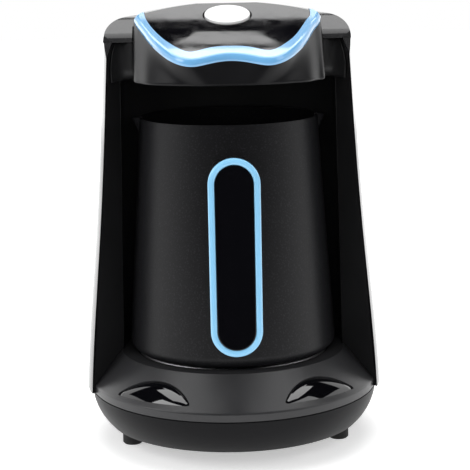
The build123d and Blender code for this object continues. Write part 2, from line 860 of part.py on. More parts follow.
with BuildPart() as panel_trim:
    with BuildSketch(panel_plane.offset(-panel_thickness)):
        add(head_outline(trim_outer_line, head_half_width, trim_side_start, panel_back))
    extrude(amount=panel_thickness + trim_proud)
    rims = panel_trim.faces().sort_by(Axis(panel_plane.origin, panel_plane.z_dir))[-1].edges()
    fillet(rims.sort_by(Axis.Y)[:-1], trim_round)
    with BuildSketch(panel_plane.offset(-panel_thickness)):
        add(head_outline(trim_inner_line, panel_half_width, trim_side_start, panel_back + head_wall))
    extrude(amount=2 * panel_thickness, mode=Mode.SUBTRACT)
    add(crest_form(trim_proud), mode=Mode.INTERSECT)
save(panel_trim.part, "panel_trim")


def head_floor_front():
    """The part of the floor inside the head shell, following the slope of its walls."""
    with BuildPart() as floor:
        with BuildSketch(Plane.XY.offset(head_bottom)):
            Rectangle(far, far)
        extrude(amount=shell_wall)
        hollow_depth = panel_thickness + head_wall
        inside = head_form(head_wall + fit, head_bottom - head_wall, hollow_depth, head_back_y + head_wall)
        add(inside, mode=Mode.INTERSECT)
    return floor.part


with BuildPart() as head_floor:
    add(peg(0, 0, head_bottom, shell_wall, bay_top_radius + bay_wall))
    add(front_of_cheeks(0.0), mode=Mode.SUBTRACT)
    add(head_floor_front())
    add(peg(0, foam_lens_y, head_bottom, shell_wall, foam_lens_radius + fit), mode=Mode.SUBTRACT)
save(head_floor.part, "head_floor")

with BuildPart() as foam_sensor_lens:
    add(peg(0, foam_lens_y, head_bottom, shell_wall, foam_lens_radius))
    flange_radius = foam_lens_radius + foam_lens_flange
    add(peg(0, foam_lens_y, ceiling_top, foam_lens_flange_thickness, flange_radius))
save(foam_sensor_lens.part, "foam_sensor_lens")


def uppermost_rim(body):
    """Circle nearest the panel's outside on a round piece."""
    return body.edges().filter_by(GeomType.CIRCLE).sort_by(Axis(panel_plane.origin, panel_plane.z_dir))[-1]


with BuildPart() as power_button:
    add(rod(panel_plane, [(0, 0)], button_proud - button_thickness, button_proud, button_radius))
    fillet(uppermost_rim(power_button), button_round)
    add(rod(panel_plane, [(0, 0)], stem_bottom, button_proud - button_thickness, stem_radius))
save(power_button.part, "power_button")

save(rod(panel_plane, [(0, 0)], stem_bottom - plunger_length, stem_bottom, plunger_radius), "switch_plunger")

with BuildPart() as power_switch:
    with BuildSketch(panel_plane.offset(control_board_top)):
        Rectangle(switch_size, switch_size)
    extrude(amount=switch_height)
    well_bottom = stem_bottom - plunger_length - button_travel - running_fit
    add(rod(panel_plane, [(0, 0)], well_bottom, switch_top, plunger_radius + stem_fit), mode=Mode.SUBTRACT)
save(power_switch.part, "power_switch")

with BuildPart() as control_board:
    with BuildSketch(panel_plane.offset(control_board_top)):
        Rectangle(*control_board_size)
        with Locations(*board_post_places):
            Circle(board_screw_radius + fit, mode=Mode.SUBTRACT)
    extrude(amount=-board_thickness)
save(control_board.part, "control_board")

board_underside = control_board_top - board_thickness
with BuildPart() as control_screws:
    head_base = board_underside - board_screw_head_height
    add(rod(panel_plane, board_post_places, head_base, board_underside, board_screw_head_radius))
    screw_tip = control_board_top + board_screw_depth
    add(rod(panel_plane, board_post_places, board_underside, screw_tip, board_screw_radius))
save(control_screws.part, "control_screws")

with BuildPart() as status_led:
    led_top = control_board_top + led_height
    add(rod(panel_plane, [(led_offset, 0)], control_board_top, led_top, led_radius))
    fillet(uppermost_rim(status_led), led_round)
save(status_led.part, "status_led")

with BuildPart() as buzzer:
    buzzer_place = [(buzzer_offset, 0)]
    buzzer_top = control_board_top + buzzer_height
    add(rod(panel_plane, buzzer_place, control_board_top, buzzer_top, buzzer_radius))
    hole_floor = buzzer_top - buzzer_hole_depth
    add(rod(panel_plane, buzzer_place, hole_floor, buzzer_top, buzzer_hole_radius), mode=Mode.SUBTRACT)
save(buzzer.part, "buzzer")

# ---------------------------------------------------------------- pot


def spout(side, inset):
    """Pouring lip at one side, from a full triangle at the rim to nothing below it."""
    with BuildPart() as body:
        for down, drawn_in in spout_levels:
            extra = spout_cut_above if down == 0 and inset else 0.0
            tip = pot_rim_radius + spout_reach - drawn_in - spout_tip_wall * inset
            root = pot_rim_radius - spout_root - inset
            with BuildSketch(Plane.XY.offset(pot_top - down + extra)) as section:
                Polygon(
                    (side * root, -spout_half_width + inset),
                    (side * tip, 0),
                    (side * root, spout_half_width - inset),
                    align=None,
                )
                fillet(section.vertices().sort_by(Axis.X)[-1 if side > 0 else 0], spout_tip_round - inset)
        loft()
    return body.part


def pot_form(inset, floor_lift=0.0, above=0.0):
    """Tapered outer form of the pot, drawn in by inset (negative to widen it)."""
    bottom = plate_top + floor_lift
    wide = pot_bottom_radius - inset - pot_taper * floor_lift
    top = pot_top + above
    narrow = pot_rim_radius - inset - pot_taper * above
    with BuildPart() as body:
        with BuildSketch(Plane.XZ) as profile:
            Polygon((0, bottom), (wide, bottom), (narrow, top), (0, top), align=None)
            fillet(profile.vertices().sort_by(Axis.X)[-1], pot_corner - inset)
        revolve(axis=Axis.Z)
    return body.part


with BuildPart() as pot:
    add(pot_form(0.0))
    for side in (-1, 1):
        add(spout(side, 0.0))
    add(pot_form(pot_wall, floor_lift=pot_floor, above=spout_cut_above), mode=Mode.SUBTRACT)
    for side in (-1, 1):
        add(spout(side, pot_wall), mode=Mode.SUBTRACT)
save(pot.part, "pot")


def handle_plane(depth):
    """Plane facing forwards, depth behind the front of the handle."""
    return Plane((0, handle_face_y + depth, handle_middle), x_dir=(1, 0, 0), z_dir=(0, -1, 0))


def stadium_bar(front, back, inset):
    """Upright bar with round ends, between two depths, drawn in by inset."""
    with BuildPart() as body:
        with BuildSketch(handle_plane(front)):
            SlotOverall(handle_height - 2 * inset, handle_width - 2 * inset, rotation=90)
        extrude(amount=-(back - front))
    return body.part


with BuildPart() as handle_trim:
    add(stadium_bar(0.0, handle_ring_depth, 0.0))
    fillet(handle_trim.faces().sort_by(Axis.Y)[0].edges(), handle_ring_round)
    add(stadium_bar(0.0, handle_ring_depth, handle_ring_width), mode=Mode.SUBTRACT)
save(handle_trim.part, "handle_trim")

with BuildPart() as handle_insert:
    add(stadium_bar(insert_recess, handle_ring_depth, handle_ring_width + fit))
    fillet(handle_insert.faces().sort_by(Axis.Y)[0].edges(), insert_round)
save(handle_insert.part, "handle_insert")

rivet_places = [(0, height + end * rivet_spacing / 2) for end in (-1, 1) for height in arm_heights]
forwards = Plane.XZ  # its normal points to the front

with BuildPart() as handle_bracket:
    with Locations(*[(0, -pot_bottom_radius, height) for height in arm_heights]):
        Box(bracket_width, pot_bottom_radius, bracket_height)
    fillet(handle_bracket.edges().filter_by(Axis.Y), bracket_round)
    add(pot_form(-bracket_thickness), mode=Mode.INTERSECT)
    add(pot_form(0.0), mode=Mode.SUBTRACT)
    add(rod(forwards, rivet_places, 0, 2 * pot_bottom_radius, rivet_radius + fit), mode=Mode.SUBTRACT)
save(handle_bracket.part, "handle_bracket")


def rivet_layer(radius, inner, outer):
    """Round pieces at the rivets, between two distances outside the pot's wall."""
    with BuildPart() as layer:
        add(rod(forwards, rivet_places, 0, 2 * pot_bottom_radius, radius))
        add(pot_form(-outer), mode=Mode.INTERSECT)
        add(pot_form(-inner), mode=Mode.SUBTRACT)
    return layer.part


with BuildPart() as handle_rivets:
    add(rivet_layer(rivet_radius, 0.0, bracket_thickness + rivet_height / 2))
    add(rivet_layer(rivet_head_radius, bracket_thickness, bracket_thickness + rivet_height))
save(handle_rivets.part, "handle_rivets")

with BuildPart() as handle_grip:
    add(stadium_bar(handle_ring_depth, handle_depth, grip_setback))
    fillet(handle_grip.faces().sort_by(Axis.Y)[-1].edges(), handle_round)
    with BuildSketch(handle_plane(handle_depth - handle_round)):
        with Locations(*[(0, height - handle_middle) for height in arm_heights]):
            RectangleRounded(arm_width, arm_height, arm_round)
    extrude(amount=handle_face_y + handle_depth)
    add(pot_form(-bracket_thickness), mode=Mode.SUBTRACT)
save(handle_grip.part, "handle_grip")

# ---------------------------------------------------------------- hot plate and heating



def element_ring():
    """Closed ring of the tubular heating element, pressed to eight flats."""
    with BuildPart() as ring:
        with BuildSketch(Plane.XZ):
            with Locations((element_ring_radius, element_z)):
                RegularPolygon(element_tube_radius, 8, major_radius=False, rotation=22.5)
        revolve(axis=Axis.Z)
    return ring.part


with BuildPart() as hot_plate:
    add(turned((0, plate_bottom), (plate_radius, plate_bottom), (plate_radius, plate_top), (0, plate_top)))
    fillet(hot_plate.edges().group_by(Axis.Z)[-1], plate_edge_round)
    boss_in = element_ring_radius - element_tube_radius - element_boss_wall
    boss_out = element_ring_radius + element_tube_radius + element_boss_wall
    boss_bottom = plate_bottom - element_boss_depth
    add(
        turned(
            (boss_in, boss_bottom),
            (boss_out, boss_bottom),
            (boss_out, plate_bottom),
            (boss_in, plate_bottom),
        )
    )
    add(element_ring(), mode=Mode.SUBTRACT)
    add(peg(0, 0, plate_bottom, plate_thickness, sensor_radius + running_fit), mode=Mode.SUBTRACT)
save(hot_plate.part, "hot_plate")

seal_bottom = plate_bottom - seal_thickness
flange_in, flange_out = deck_bore_radius - seal_flange, deck_bore_radius + seal_flange

with BuildPart() as plate_seal:
    add(
        turned(
            (flange_in, seal_bottom),
            (flange_out, seal_bottom),
            (flange_out, plate_bottom),
            (deck_bore_radius, plate_bottom),
            (deck_bore_radius, deck_top - plate_edge_round),
            (plate_radius, deck_top - plate_edge_round),
            (plate_radius, plate_bottom),
            (flange_in, plate_bottom),
        )
    )
save(plate_seal.part, "plate_seal")

with BuildPart() as plate_clamp_ring:
    add(
        turned(
            (clamp_inner_radius, shield_top),
            (flange_out, shield_top),
            (flange_out, seal_bottom),
            (clamp_inner_radius, seal_bottom),
        )
    )
save(plate_clamp_ring.part, "plate_clamp_ring")

with BuildPart() as heating_element:
    add(element_ring())
    for side in (-1, 1):
        x = side * terminal_spread / 2
        add(peg(x, terminal_y, terminal_bottom, terminal_length, terminal_radius))
save(heating_element.part, "heating_element")

with BuildPart() as heat_shield:
    inner = shield_radius - shield_thickness
    add(
        turned(
            (0, shield_floor),
            (shield_radius, shield_floor),
            (shield_radius, shield_top - shield_thickness),
            (flange_out, shield_top - shield_thickness),
            (flange_out, shield_top),
            (inner, shield_top),
            (inner, shield_floor + shield_thickness),
            (0, shield_floor + shield_thickness),
        )
    )
    holder_hole = sensor_radius + sensor_wall + fit
    add(peg(0, 0, shield_floor, shield_thickness, holder_hole), mode=Mode.SUBTRACT)
    for side in (-1, 1):
        x = side * terminal_spread / 2
        hole = terminal_radius + shield_hole_gap
        add(peg(x, terminal_y, shield_floor, shield_thickness, hole), mode=Mode.SUBTRACT)
save(heat_shield.part, "heat_shield")

thermostat_bottom = plate_bottom - thermostat_height
save(peg(0, -thermostat_offset, thermostat_bottom, thermostat_height, thermostat_radius), "thermostat")

with BuildPart() as thermal_fuse:
    with BuildSketch(Plane.YZ):
        with Locations((fuse_offset, plate_bottom - fuse_radius)):
            Circle(fuse_radius)
        with Locations((fuse_offset, plate_bottom - fuse_radius / 2)):
            Rectangle(2 * fuse_radius, fuse_radius)
    extrude(amount=fuse_length / 2, both=True)
save(thermal_fuse.part, "thermal_fuse")

sensor_bore = sensor_radius + stem_fit
with BuildPart() as sensor_holder:
    add(peg(0, 0, sensor_floor, sensor_holder_height, sensor_radius + sensor_wall))
    add(peg(0, 0, sensor_floor + sensor_wall, sensor_holder_height, sensor_bore), mode=Mode.SUBTRACT)
save(sensor_holder.part, "sensor_holder")

with BuildPart() as sensor_plunger:
    add(peg(0, 0, sensor_cap_bottom, sensor_cap_height, sensor_radius))
    fillet(sensor_plunger.edges().group_by(Axis.Z)[-1], plate_edge_round)
    stem = sensor_cap_bottom - sensor_floor - sensor_wall - sensor_travel - running_fit
    add(peg(0, 0, sensor_cap_bottom - stem, stem, sensor_stem_radius))
save(sensor_plunger.part, "sensor_plunger")

spring_floor = sensor_floor + sensor_wall + spring_wire_radius
spring_length = sensor_cap_bottom - sensor_floor - sensor_wall - 2 * spring_wire_radius
with BuildPart() as sensor_spring:
    with BuildLine(Plane.XY.offset(spring_floor)) as coil:
        Helix(spring_length / spring_turns, spring_length, spring_radius)
    with BuildSketch(Plane(coil.line @ 0, z_dir=coil.line % 0)):
        RegularPolygon(spring_wire_radius, 6)
    sweep()
save(sensor_spring.part, "sensor_spring")

with BuildPart() as base_screws:
    for x, y in post_places:
        add(peg(x, y, foot_height, screw_head_height, screw_head_radius))
        add(peg(x, y, foot_height + screw_head_height, screw_shank, screw_radius))
save(base_screws.part, "base_screws")

# ---------------------------------------------------------------- power board and wiring

with BuildPart() as power_board:
    with BuildSketch(board_plane):
        with Locations((0, power_board_middle)):
            Rectangle(*power_board_size)
        with Locations(*board_boss_places):
            Circle(board_screw_radius + fit, mode=Mode.SUBTRACT)
    extrude(amount=-board_thickness)
save(power_board.part, "power_board")

with BuildPart() as board_screws:
    head_start = -board_thickness - board_screw_head_height
    add(rod(board_plane, board_boss_places, head_start, -board_thickness, board_screw_head_radius))
    add(rod(board_plane, board_boss_places, -board_thickness, board_screw_depth, board_screw_radius))
save(board_screws.part, "board_screws")

blocks = [
    ((0, terminal_block_z), terminal_block_size),
    (relay_place, relay_size),
    (transformer_place, transformer_size),
]
with BuildPart() as board_components:
    for place, (across, up, out) in blocks:
        with BuildSketch(board_plane):
            with Locations(place):
                Rectangle(across, up)
        extrude(amount=out)
    add(rod(board_plane, [capacitor_place], 0, capacitor_height, capacitor_radius))
save(board_components.part, "board_components")

lead_y = power_board_y - terminal_block_size[2] / 2
lead_end = terminal_block_z - terminal_block_size[1] / 2
with BuildPart() as heater_leads:
    for side in (-1, 1):
        x = side * terminal_spread / 2
        with BuildLine() as run:
            FilletPolyline(
                (x, terminal_y, terminal_bottom),
                (x, terminal_y, lead_low_z),
                (x, lead_y, lead_low_z),
                (x, lead_y, lead_end),
                radius=lead_bend,
            )
        with BuildSketch(Plane(run.line @ 0, z_dir=run.line % 0)):
            Circle(lead_radius)
        sweep(path=run.line)
save(heater_leads.part, "heater_leads")

ribbon_start = panel_plane.offset(board_underside).origin
ribbon_turn = panel_plane.offset(board_underside - ribbon_drop).origin
ribbon_y = power_board_y - ribbon_thickness / 2
ribbon_end = power_board_middle + power_board_size[1] / 2 - ribbon_overlap
with BuildPart() as head_cable:
    with BuildSketch(Plane.YZ):
        with BuildLine():
            FilletPolyline(
                (ribbon_start.Y, ribbon_start.Z),
                (ribbon_turn.Y, ribbon_turn.Z),
                (ribbon_y, ribbon_turn.Z),
                (ribbon_y, ribbon_end),
                radius=ribbon_bend,
            )
        trace(line_width=ribbon_thickness)
    extrude(amount=ribbon_width / 2, both=True)
save(head_cable.part, "head_cable")
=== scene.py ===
"""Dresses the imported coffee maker: materials, modelled pieces, stage, lights and camera."""

import json
from math import cos, pi, radians, sin

import bmesh
import bpy
from mathutils import Matrix, Vector
from mathutils.bvhtree import BVHTree

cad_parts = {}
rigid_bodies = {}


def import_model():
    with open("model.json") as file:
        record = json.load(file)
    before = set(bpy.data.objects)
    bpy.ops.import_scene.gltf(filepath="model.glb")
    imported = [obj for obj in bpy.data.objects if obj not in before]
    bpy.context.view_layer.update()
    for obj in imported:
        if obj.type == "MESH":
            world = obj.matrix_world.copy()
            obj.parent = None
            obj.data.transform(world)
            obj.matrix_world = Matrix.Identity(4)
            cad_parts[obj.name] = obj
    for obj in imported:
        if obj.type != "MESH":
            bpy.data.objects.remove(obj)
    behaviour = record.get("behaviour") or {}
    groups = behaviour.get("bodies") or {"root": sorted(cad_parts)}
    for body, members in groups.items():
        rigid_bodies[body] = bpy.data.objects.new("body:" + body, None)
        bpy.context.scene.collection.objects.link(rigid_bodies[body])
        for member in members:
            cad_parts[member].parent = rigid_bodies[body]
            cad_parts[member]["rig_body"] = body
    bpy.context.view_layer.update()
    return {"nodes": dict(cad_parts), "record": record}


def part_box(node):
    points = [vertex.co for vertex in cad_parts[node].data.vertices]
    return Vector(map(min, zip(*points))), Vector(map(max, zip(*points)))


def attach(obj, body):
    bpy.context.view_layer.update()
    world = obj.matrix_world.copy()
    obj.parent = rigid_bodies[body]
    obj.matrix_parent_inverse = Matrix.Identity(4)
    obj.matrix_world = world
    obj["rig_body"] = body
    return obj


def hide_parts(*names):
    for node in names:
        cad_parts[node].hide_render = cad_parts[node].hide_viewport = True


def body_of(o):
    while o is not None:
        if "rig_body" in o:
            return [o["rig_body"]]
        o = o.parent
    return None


# Camera
CAMERA_PLACE = Vector((-0.0150, -0.7078, 0.2219))
CAMERA_YAW = radians(1.36)
CAMERA_PITCH = radians(10.5)
CAMERA_ROLL = radians(-1.16)
FOCAL_PIXELS = 1600.4
FRAME_PIXELS = 470
SENSOR_WIDTH = 36.0
NEAR_CLIP = 0.01

# Surfaces: patterns in waves per metre, relief in metres, shade as a share of the colour
NOISE_RANGE = (0.3, 0.7)
SMEAR_RANGE = (0.35, 0.75)
SPECK_RANGE = (0.56, 0.66)
PLASTIC_GRAIN = 2600.0
PLASTIC_PATCHES = 45.0
PLASTIC_RELIEF = 0.00012
PLASTIC_SHADE = 0.8
GLOSS_WAVES = 60.0
GLOSS_SMEARS = 160.0
GLOSS_RELIEF = 0.0004
GLOSS_SHADE = 0.92
ROUGHNESS_SPREAD = 0.03
COATING_SPECKS = 1500.0
COATING_PEBBLES = 3800.0
COATING_RELIEF = 0.00015
COATING_STRENGTH = 0.25
COATING_SPECULAR = 0.24
COATING_ROUGHNESS = (0.36, 0.5)
COATING_DARK = (0.006, 0.006, 0.007)
COATING_PALE = (0.016, 0.016, 0.018)
METAL_GRAIN = 1800.0
METAL_RELIEF = 0.0001
METAL_STRENGTH = 0.1
METAL_SHADE = 0.75
METAL_SPREAD = 0.08
CLEAR_WAVES = 300.0
CLEAR_RELIEF = 0.0002
CLEAR_STRENGTH = 0.03
CLEAR_ROUGHNESS = 0.05
CLEAR_TRANSMISSION = 0.9
CLEAR_DARK = (0.75, 0.8, 0.85)
CLEAR_PALE = (0.85, 0.9, 0.95)

# Modelled pieces
SIDES = ((-1, "left"), (1, "right"))
QUAD_CORNERS = 4

# Handle ring and insert
STADIUM_STEPS = 24
RING_WIDTH = 0.0027
RING_DOME = 0.0011
RING_STEPS = 10
WINDOW_ROUND = 0.0004
WINDOW_STEPS = 4

# Hollow faces between the wings and the head
WING_TOP = 0.1785
WING_TIP = 0.165
WING_TOP_Y = -0.0103
WING_TIP_Y = -0.0189
WING_MARGIN = 0.0024
WING_SETBACK = 0.0025
CHEEK_INNER_Y = -0.001
CHEEK_TOP_X = 0.0464
CHEEK_SLOPE = 0.33
COVE_TOP = 0.1784
COVE_BOTTOM = 0.1615
COVE_HEAD_X = 0.0405
COVE_HEAD_Y = -0.0100
COVE_HEAD_FALL = 0.0025
COVE_WING_PULL = (0.0035, 0.0075)  # inwards and back, from the wing's edge
COVE_HEAD_PULL = (0.0055, 0.0005)  # outwards and back, from the head
COVE_EDGE = 0.0012
COVE_TURN = 0.7
COVE_UNDERCUT = 0.0055
COVE_ROWS = 20
COVE_STEPS = 20
COVE_EDGE_STEPS = 5

# Domed lenses on the deck
LENS_ANGLE = radians(36.0)
LENS_HALF_SPAN = radians(18.0)
LENS_OUTER = 0.0638
LENS_INNER = 0.0552
LENS_MIDDLE = (LENS_OUTER + LENS_INNER) / 2
LENS_HALF_LENGTH = LENS_OUTER * sin(LENS_HALF_SPAN)
LENS_PLACE_HEIGHT = 0.032445
LENS_SLOPE = radians(39.02)
LENS_DOME = 0.0008
LENS_EDGE_DEPTH = 0.0010
LENS_TIP_CUT = 0.0014
LENS_PROBE_INSET = 0.97
LENS_PROBE_START = 0.01
LENS_STEPS = 40
LENS_RINGS = 14

# Light and stage
WORLD_LIGHT = 0.35
FLOOR_SIZE = 6.0
FLOOR_COLOUR = (0.9, 0.9, 0.9, 1.0)
# Floor glow near the object, rising to full white between FLOOR_NEAR and FLOOR_FAR: painted shade
# round the object.
FLOOR_SHADED_GLOW = 0.45
FLOOR_NEAR = 0.12
FLOOR_FAR = 0.6
STAGE_WHITE = (1.0, 1.0, 1.0, 1.0)

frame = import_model()
nodes = frame["nodes"]


# ---------------------------------------------------------------- material helpers


def new_material(name):
    """Node material with its node tree and Principled shader."""
    material = bpy.data.materials.new(name)
    material.use_nodes = True
    tree = material.node_tree
    return material, tree, tree.nodes["Principled BSDF"]


def surface_point(tree):
    """Object coordinates, the same in every view."""
    return tree.nodes.new("ShaderNodeTexCoord").outputs["Object"]


def noise(tree, scale, detail=2.0):
    """Noise over the object, scale in waves per metre."""
    texture = tree.nodes.new("ShaderNodeTexNoise")
    texture.inputs["Scale"].default_value = scale
    texture.inputs["Detail"].default_value = detail
    tree.links.new(surface_point(tree), texture.inputs["Vector"])
    return texture.outputs["Fac"]


def axis_distance(tree):
    """Distance from the upright axis through the frame's origin."""
    flat = tree.nodes.new("ShaderNodeVectorMath")
    flat.operation = "MULTIPLY"
    flat.inputs[1].default_value = (1.0, 1.0, 0.0)
    tree.links.new(surface_point(tree), flat.inputs[0])
    radius = tree.nodes.new("ShaderNodeVectorMath")
    radius.operation = "LENGTH"
    tree.links.new(flat.outputs["Vector"], radius.inputs[0])
    return radius.outputs["Value"]


def mapped(tree, value, source, target):
    """Value mapped from one range to another, held at its ends."""
    ramp = tree.nodes.new("ShaderNodeMapRange")
    ramp.inputs["From Min"].default_value, ramp.inputs["From Max"].default_value = source
    ramp.inputs["To Min"].default_value, ramp.inputs["To Max"].default_value = target
    tree.links.new(value, ramp.inputs["Value"])
    return ramp.outputs["Result"]


def combined(tree, operation, first, second):
    """Two values joined by a Math node."""
    both = tree.nodes.new("ShaderNodeMath")
    both.operation = operation
    tree.links.new(first, both.inputs[0])
    tree.links.new(second, both.inputs[1])
    return both.outputs["Value"]


def blended(tree, share, first, second):
    """Colour between first and second by share."""
    mix = tree.nodes.new("ShaderNodeMix")
    mix.data_type = "RGBA"
    tree.links.new(share, mix.inputs["Factor"])
    mix.inputs["A"].default_value = (*first, 1.0)
    mix.inputs["B"].default_value = (*second, 1.0)
    return mix.outputs["Result"]


def shaded(colour, share):
    """Colour brought down to a share of itself."""
    return tuple(share * channel for channel in colour)


def add_bump(tree, shader, height, strength, distance):
    """Fine relief on a shader."""
    bump = tree.nodes.new("ShaderNodeBump")
    bump.inputs["Strength"].default_value = strength
    bump.inputs["Distance"].default_value = distance
    tree.links.new(height, bump.inputs["Height"])
    tree.links.new(bump.outputs["Normal"], shader.inputs["Normal"])


# ---------------------------------------------------------------- materials


def moulded_plastic(name, colour, roughness, relief=0.25, specular=0.5):
    """Matte injection-moulded plastic with a fine spark-eroded grain."""
    material, tree, shader = new_material(name)
    grain = noise(tree, PLASTIC_GRAIN, detail=3.0)
    patches = noise(tree, PLASTIC_PATCHES)
    share = mapped(tree, patches, NOISE_RANGE, (0, 1))
    tint = blended(tree, share, shaded(colour, PLASTIC_SHADE), colour)
    spread = (roughness - ROUGHNESS_SPREAD, roughness + ROUGHNESS_SPREAD)
    tree.links.new(tint, shader.inputs["Base Color"])
    tree.links.new(mapped(tree, patches, NOISE_RANGE, spread), shader.inputs["Roughness"])
    shader.inputs["Specular IOR Level"].default_value = specular
    add_bump(tree, shader, grain, relief, PLASTIC_RELIEF)
    return material


def gloss_plastic(name, colour, roughness, waviness, coat=0.0):
    """Polished plastic, with the slight waviness of a moulded skin."""
    material, tree, shader = new_material(name)
    wave = noise(tree, GLOSS_WAVES)
    smear = noise(tree, GLOSS_SMEARS, detail=4.0)
    tint = blended(tree, wave, shaded(colour, GLOSS_SHADE), colour)
    spread = (roughness, roughness + ROUGHNESS_SPREAD)
    tree.links.new(tint, shader.inputs["Base Color"])
    tree.links.new(mapped(tree, smear, SMEAR_RANGE, spread), shader.inputs["Roughness"])
    shader.inputs["Coat Weight"].default_value = coat
    add_bump(tree, shader, wave, waviness, GLOSS_RELIEF)
    return material


def coated_metal(name):
    """Dark non-stick coating with fine paler specks and a slight pebbled skin."""
    material, tree, shader = new_material(name)
    speck = noise(tree, COATING_SPECKS)
    pebble = noise(tree, COATING_PEBBLES, detail=1.0)
    dots = mapped(tree, speck, SPECK_RANGE, (0, 1))
    tree.links.new(blended(tree, dots, COATING_DARK, COATING_PALE), shader.inputs["Base Color"])
    tree.links.new(mapped(tree, pebble, NOISE_RANGE, COATING_ROUGHNESS), shader.inputs["Roughness"])
    shader.inputs["Specular IOR Level"].default_value = COATING_SPECULAR
    add_bump(tree, shader, pebble, COATING_STRENGTH, COATING_RELIEF)
    return material


def metal(name, colour, roughness):
    """Bare metal with a fine satin grain."""
    material, tree, shader = new_material(name)
    grain = noise(tree, METAL_GRAIN, detail=4.0)
    tint = blended(tree, grain, shaded(colour, METAL_SHADE), colour)
    spread = (roughness - METAL_SPREAD, roughness + METAL_SPREAD)
    tree.links.new(tint, shader.inputs["Base Color"])
    tree.links.new(mapped(tree, grain, NOISE_RANGE, spread), shader.inputs["Roughness"])
    shader.inputs["Metallic"].default_value = 1.0
    add_bump(tree, shader, grain, METAL_STRENGTH, METAL_RELIEF)
    return material


def clear_lens(name):
    """Clear moulded lens."""
    material, tree, shader = new_material(name)
    wave = noise(tree, CLEAR_WAVES)
    tree.links.new(blended(tree, wave, CLEAR_DARK, CLEAR_PALE), shader.inputs["Base Color"])
    shader.inputs["Transmission Weight"].default_value = CLEAR_TRANSMISSION
    shader.inputs["Roughness"].default_value = CLEAR_ROUGHNESS
    add_bump(tree, shader, wave, CLEAR_STRENGTH, CLEAR_RELIEF)
    return material


BLACK_MATTE = moulded_plastic("matte_black", (0.012, 0.012, 0.013), 0.38, specular=0.24)
# Paler copy of the housing black for the liner and the hollows beside the head: painted light.
LINER_BLACK_LIT = moulded_plastic("liner_black_painted_light", (0.018, 0.018, 0.019), 0.42, specular=0.3)
# Darker copy of the housing black for the base's lower shell: painted shade.
BASE_BLACK_SHADED = moulded_plastic("base_black_painted_shade", (0.008, 0.008, 0.009), 0.42, specular=0.12)
# Paler copy of the housing black for the deck, which faces up to the lamps: painted light.
DECK_BLACK_LIT = moulded_plastic("deck_black_painted_light", (0.030, 0.030, 0.032), 0.34, specular=0.45)
# Darker copy of the housing black for the head: painted shade.
HEAD_BLACK_SHADED = moulded_plastic("head_black_painted_shade", (0.008, 0.008, 0.009), 0.36, specular=0.14)
BLACK_SATIN = moulded_plastic("satin_black", (0.008, 0.008, 0.009), 0.28, relief=0.12, specular=0.3)
BLACK_GLOSS = gloss_plastic("gloss_black", (0.003, 0.003, 0.004), 0.02, 0.02)
BLACK_SHELL = gloss_plastic("shell_black", (0.005, 0.005, 0.006), 0.16, 0.06)
BLACK_LENS = gloss_plastic("lens_black", (0.003, 0.003, 0.004), 0.02, 0.3, coat=1.0)
# The panel trim and the handle's ring are one blue plastic; the trim's darker copy and the ring's
# paler copy are painted shade and light.
BLUE_TRIM_SHADED = gloss_plastic("trim_blue", (0.17, 0.44, 0.76), 0.16, 0.02, coat=1.0)
BLUE_RING_LIT = gloss_plastic("ring_blue_painted_light", (0.27, 0.62, 0.92), 0.16, 0.02, coat=0.5)
WHITE_BUTTON = gloss_plastic("button_white", (0.93, 0.93, 0.93), 0.2, 0.02)
POT_COATING = coated_metal("pot_coating")
STEEL = metal("steel", (0.55, 0.55, 0.56), 0.3)
ALUMINIUM = metal("cast_aluminium", (0.5, 0.5, 0.52), 0.42)
RUBBER = moulded_plastic("rubber_black", (0.012, 0.012, 0.012), 0.75, relief=0.3)
INNER_BLACK = moulded_plastic("inner_black", (0.02, 0.02, 0.02), 0.5)
BOARD_GREEN = moulded_plastic("board_green", (0.01, 0.08, 0.03), 0.35, relief=0.1)
COMPONENT_GREY = moulded_plastic("component_grey", (0.12, 0.12, 0.13), 0.5, relief=0.1)
WIRE_GREY = moulded_plastic("wire_grey", (0.1, 0.1, 0.1), 0.55, relief=0.1)
LENS_CLEAR = clear_lens("lens_clear")

FINISHES = {
    "housing_black": BLACK_MATTE,
    "shell_gloss_black": BLACK_SHELL,
    "panel_gloss_black": BLACK_GLOSS,
    "trim_blue": BLUE_TRIM_SHADED,
    "button_white": WHITE_BUTTON,
    "pot_coating": POT_COATING,
    "handle_black": BLACK_SATIN,
    "steel": STEEL,
    "cast_aluminium": ALUMINIUM,
    "rubber_black": RUBBER,
    "inner_black": INNER_BLACK,
    "board_green": BOARD_GREEN,
    "component_grey": COMPONENT_GREY,
    "lens_clear": LENS_CLEAR,
    "wire_grey": WIRE_GREY,
}

# Nodes whose finish differs from their slot's: paler and darker copies of the housing black,
# painted light and shade
NODE_FINISHES = {
    "base_deck": DECK_BLACK_LIT,
    "base_lower_shell": BASE_BLACK_SHADED,
    "inner_liner": LINER_BLACK_LIT,
    "head_shell": HEAD_BLACK_SHADED,
}


def dress(node_object, material):
    """Give every slot of a CAD node one material."""
    if not node_object.material_slots:
        node_object.data.materials.append(material)
    for slot in node_object.material_slots:
        slot.material = material


for subpart in frame["record"]["subparts"]:
    node = subpart["node"]
    dress(nodes[node], NODE_FINISHES.get(node, FINISHES[subpart["material_slot"]]))

# ---------------------------------------------------------------- modelled pieces


def skin(rows, capped):
    """Closed mesh over rings of points, capped at its ends or joined end to end."""
    mesh = bmesh.new()
    grid = [[mesh.verts.new(point) for point in row] for row in rows]
    pairs = list(zip(grid, grid[1:]))
    if capped:
        mesh.faces.new(grid[0])
        mesh.faces.new(grid[-1])
    else:
        pairs.append((grid[-1], grid[0]))
    for near, far in pairs:
        for index in range(len(near)):
            after = (index + 1) % len(near)
            mesh.faces.new((near[index], near[after], far[after], far[index]))
    return mesh


